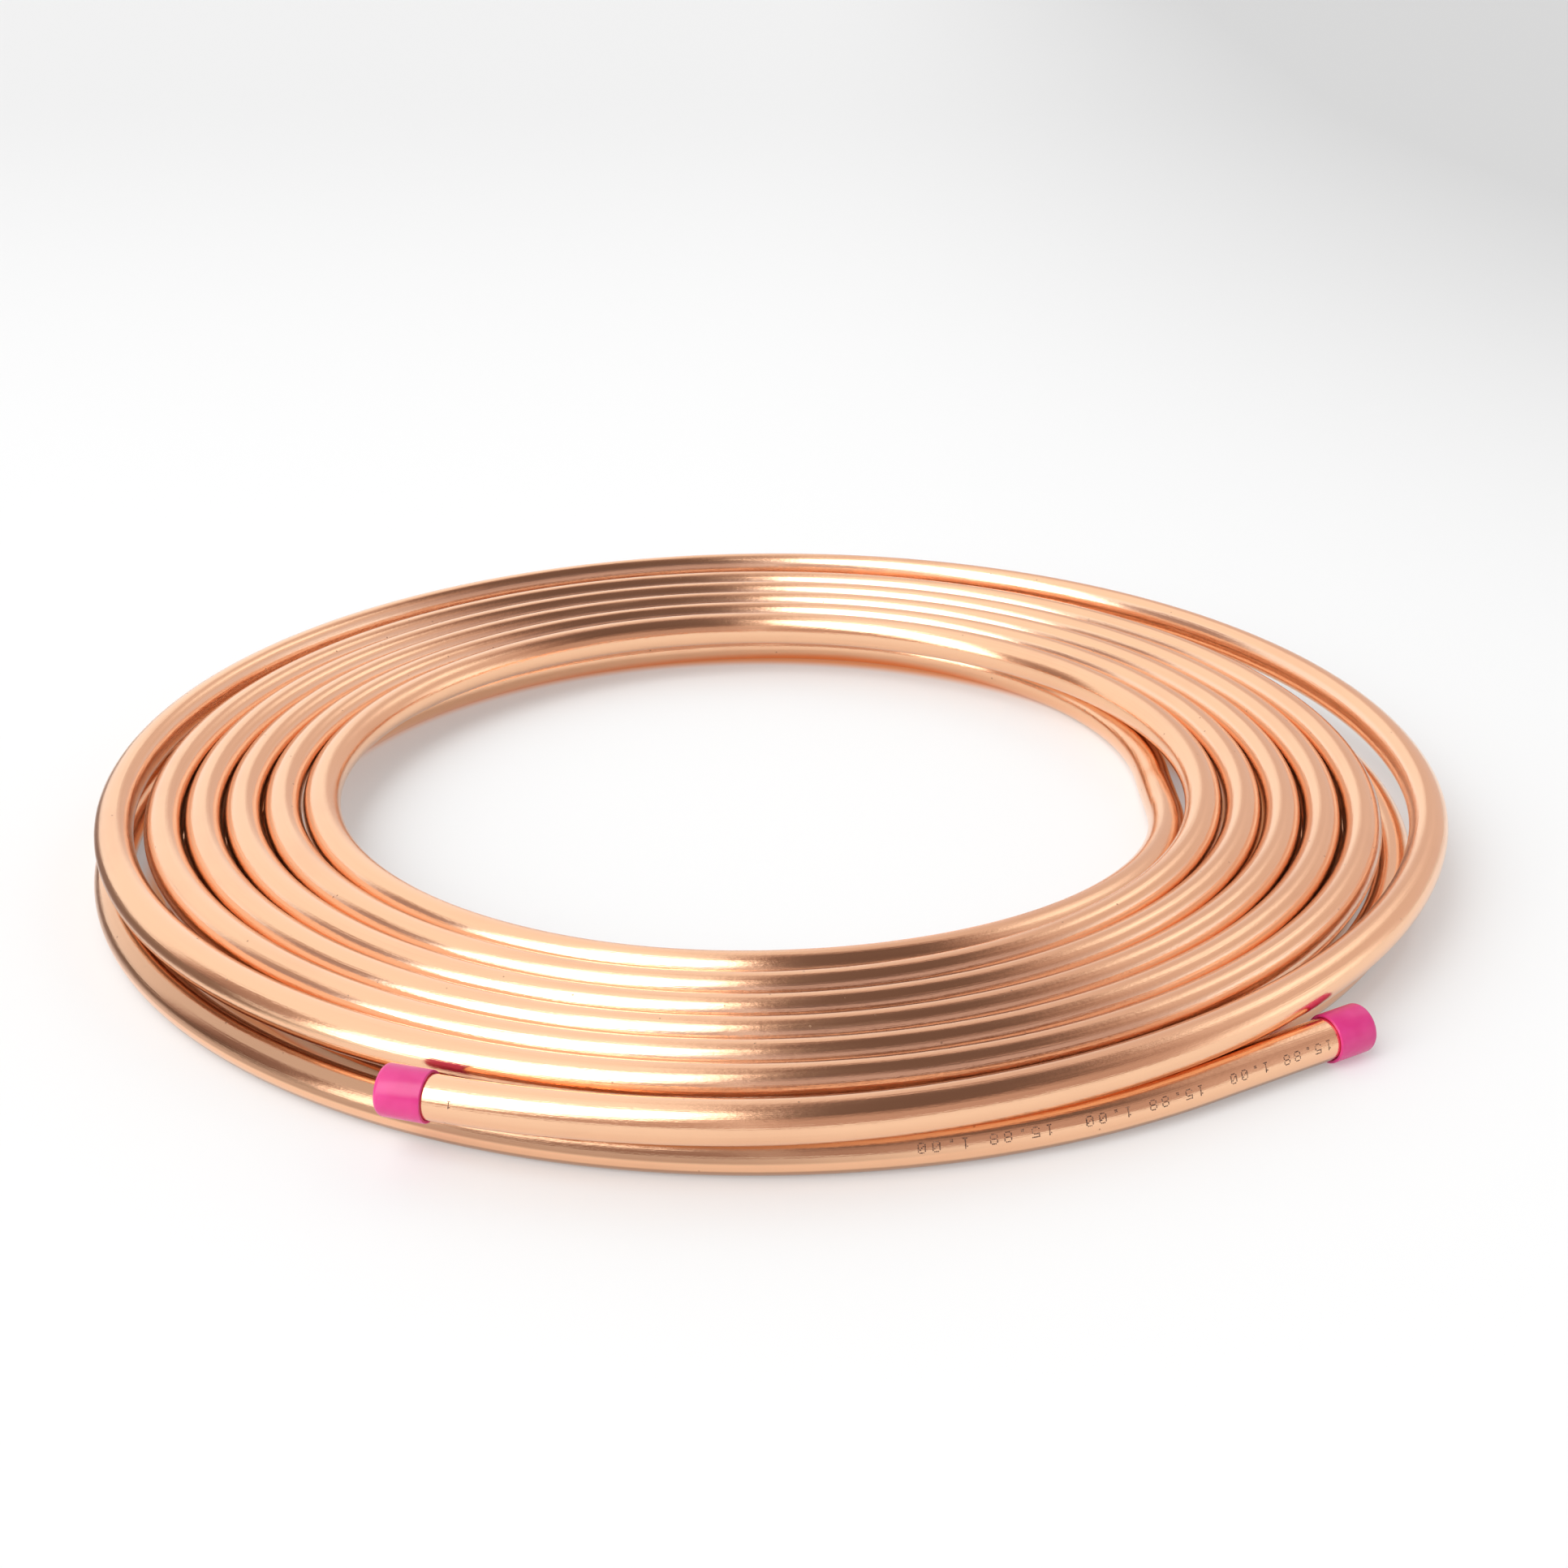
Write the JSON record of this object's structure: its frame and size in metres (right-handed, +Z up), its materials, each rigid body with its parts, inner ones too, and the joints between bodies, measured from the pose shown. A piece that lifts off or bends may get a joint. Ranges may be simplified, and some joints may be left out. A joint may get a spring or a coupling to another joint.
{
  "type": "copper tube coil",
  "caption": "Flat two-layer coil of bright soft copper tube with an open eye and a pink plastic cap pushed over each end of the tube.",
  "frame": {"origin": "axis of the coil on the floor that it lies on", "axes": "+Z up along the axis of the coil, -Y towards the side where both tube ends are, +X to the right seen from that side"},
  "size_m": [0.5785, 0.5905, 0.0337],
  "materials": {
    "copper": "bright drawn and annealed copper",
    "cap_plastic": "semi-gloss soft polyethylene"
  },
  "bodies": {
    "root": {"copper_tube": "copper", "upper_end_cap": "cap_plastic", "lower_end_cap": "cap_plastic"}
  },
  "joints": []
}
